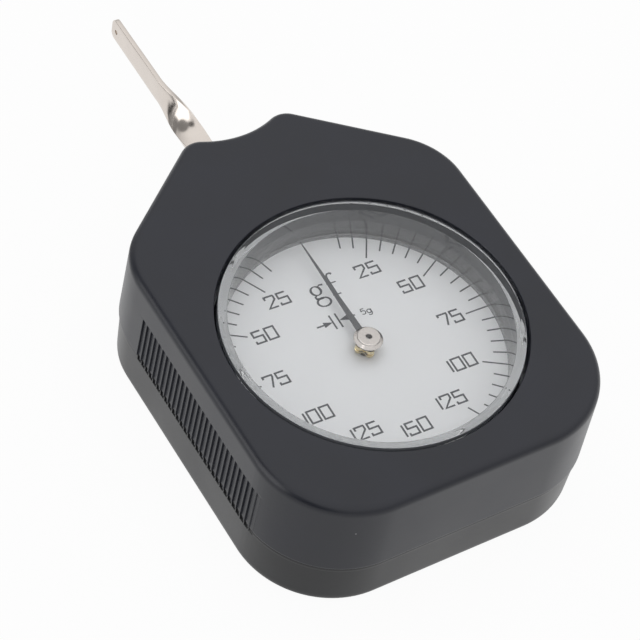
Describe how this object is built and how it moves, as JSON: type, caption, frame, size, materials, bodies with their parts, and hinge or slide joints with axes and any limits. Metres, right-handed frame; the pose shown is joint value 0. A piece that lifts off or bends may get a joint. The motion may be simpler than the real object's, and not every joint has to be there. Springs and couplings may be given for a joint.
{
  "type": "dial tension gauge",
  "caption": "Hand-held dial gauge for small pulls and pushes: a black two-shell case, a round window over a pointer dial, and a twisted nickel lever that swings either way.",
  "frame": {"origin": "on the dial's axis, in the plane of the rear face that the gauge lies on", "axes": "+X to the right seen from the front, +Y along the body to the lever's tip, +Z out of the dial"},
  "size_m": [0.0626, 0.1195, 0.026],
  "materials": {
    "housing_plastic": "satin moulded",
    "cover_plastic": "satin moulded",
    "clear_acrylic": "polished clear",
    "dial_silver": "matte silver white, printed",
    "screw_steel": "plain",
    "pin_steel": "ground",
    "plate_brass": "stamped",
    "turned_brass": "turned",
    "gear_brass": "cut",
    "collet_brass": "bright",
    "lever_nickel": "nickel plated",
    "cap_nickel": "nickel plated",
    "pointer_grey": "dark grey",
    "spring_steel": "blued"
  },
  "bodies": {
    "case": {"front_housing": "housing_plastic", "rear_cover": "cover_plastic", "crystal": "clear_acrylic", "dial_plate": "dial_silver", "case_screw_1": "screw_steel", "case_screw_2": "screw_steel", "case_screw_3": "screw_steel", "case_screw_4": "screw_steel", "pillar_screw_1": "screw_steel", "pillar_screw_2": "screw_steel", "pillar_screw_3": "screw_steel", "pillar_screw_4": "screw_steel", "ledge_screw_1": "screw_steel", "ledge_screw_2": "screw_steel", "ledge_screw_3": "screw_steel", "stop_pin_1": "pin_steel", "stop_pin_2": "pin_steel", "front_plate": "plate_brass", "rear_plate": "plate_brass", "pillar_1": "turned_brass", "pillar_2": "turned_brass", "pillar_3": "turned_brass", "pillar_4": "turned_brass", "pointer_rear_bush": "turned_brass", "pointer_front_bush": "turned_brass", "lever_rear_bush": "turned_brass", "lever_front_bush": "turned_brass", "measuring_spring": "spring_steel", "hairspring": "spring_steel", "measuring_stud": "turned_brass", "hairspring_stud": "turned_brass"},
    "lever_group": {"lever": "lever_nickel", "lever_arbor": "pin_steel", "lever_spacer": "turned_brass", "sector_gear": "gear_brass", "lever_screw_1": "screw_steel", "lever_screw_2": "screw_steel", "spring_collet": "turned_brass"},
    "pointer_group": {"pointer_arbor": "pin_steel", "pinion": "pin_steel", "hairspring_collet": "turned_brass", "pointer_collet": "collet_brass", "pointer": "pointer_grey", "pointer_cap": "cap_nickel"}
  },
  "joints": [
    {"name": "lever_swing", "type": "hinge", "parent": "case", "child": "lever_group", "pos_m": [0, 0.033, 0.0105], "axis": [0, 0, 1], "range_deg": [-15, 15], "stiffness_Nm_per_rad": 0.3},
    {"name": "pointer_turn", "type": "hinge", "parent": "case", "child": "pointer_group", "pos_m": [0, 0, 0.0105], "axis": [0, 0, 1], "range_deg": [-180, 180]}
  ],
  "couplings": [
    {"joint": "pointer_turn", "follows": "lever_swing", "ratio": -12}
  ]
}
